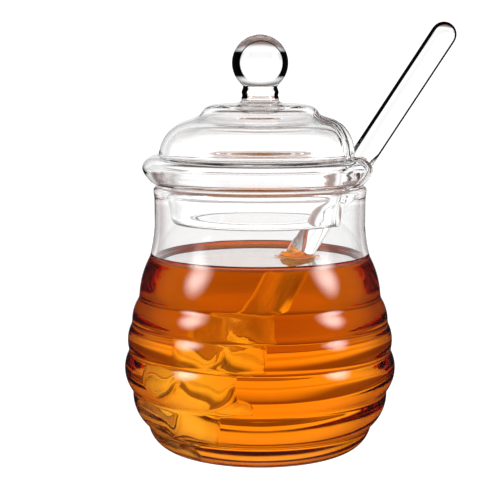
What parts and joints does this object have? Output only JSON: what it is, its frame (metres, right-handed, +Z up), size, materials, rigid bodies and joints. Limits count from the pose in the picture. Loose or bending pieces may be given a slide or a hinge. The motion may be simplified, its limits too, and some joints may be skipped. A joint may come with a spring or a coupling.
{
  "type": "beehive honey pot",
  "caption": "Ribbed beehive honey pot of clear glass, filled with amber honey, with a domed lid, ball knob and a glass dipper leaning out through the lid's notch.",
  "frame": {"origin": "centre of the jar's flat foot, on the jar's axis", "axes": "+Z up along the jar's axis, +X towards the side that the dipper leans out on"},
  "size_m": [0.1032, 0.0854, 0.1331],
  "materials": {
    "jar_glass": "clear, smooth, thin blown borosilicate",
    "lid_glass": "clear, smooth, thin blown borosilicate",
    "dipper_glass": "clear, smooth, solid rod",
    "honey": "clear amber honey, wet gloss"
  },
  "bodies": {
    "root": {"jar": "jar_glass", "lid": "lid_glass", "dipper": "dipper_glass", "honey": "honey"}
  },
  "joints": []
}
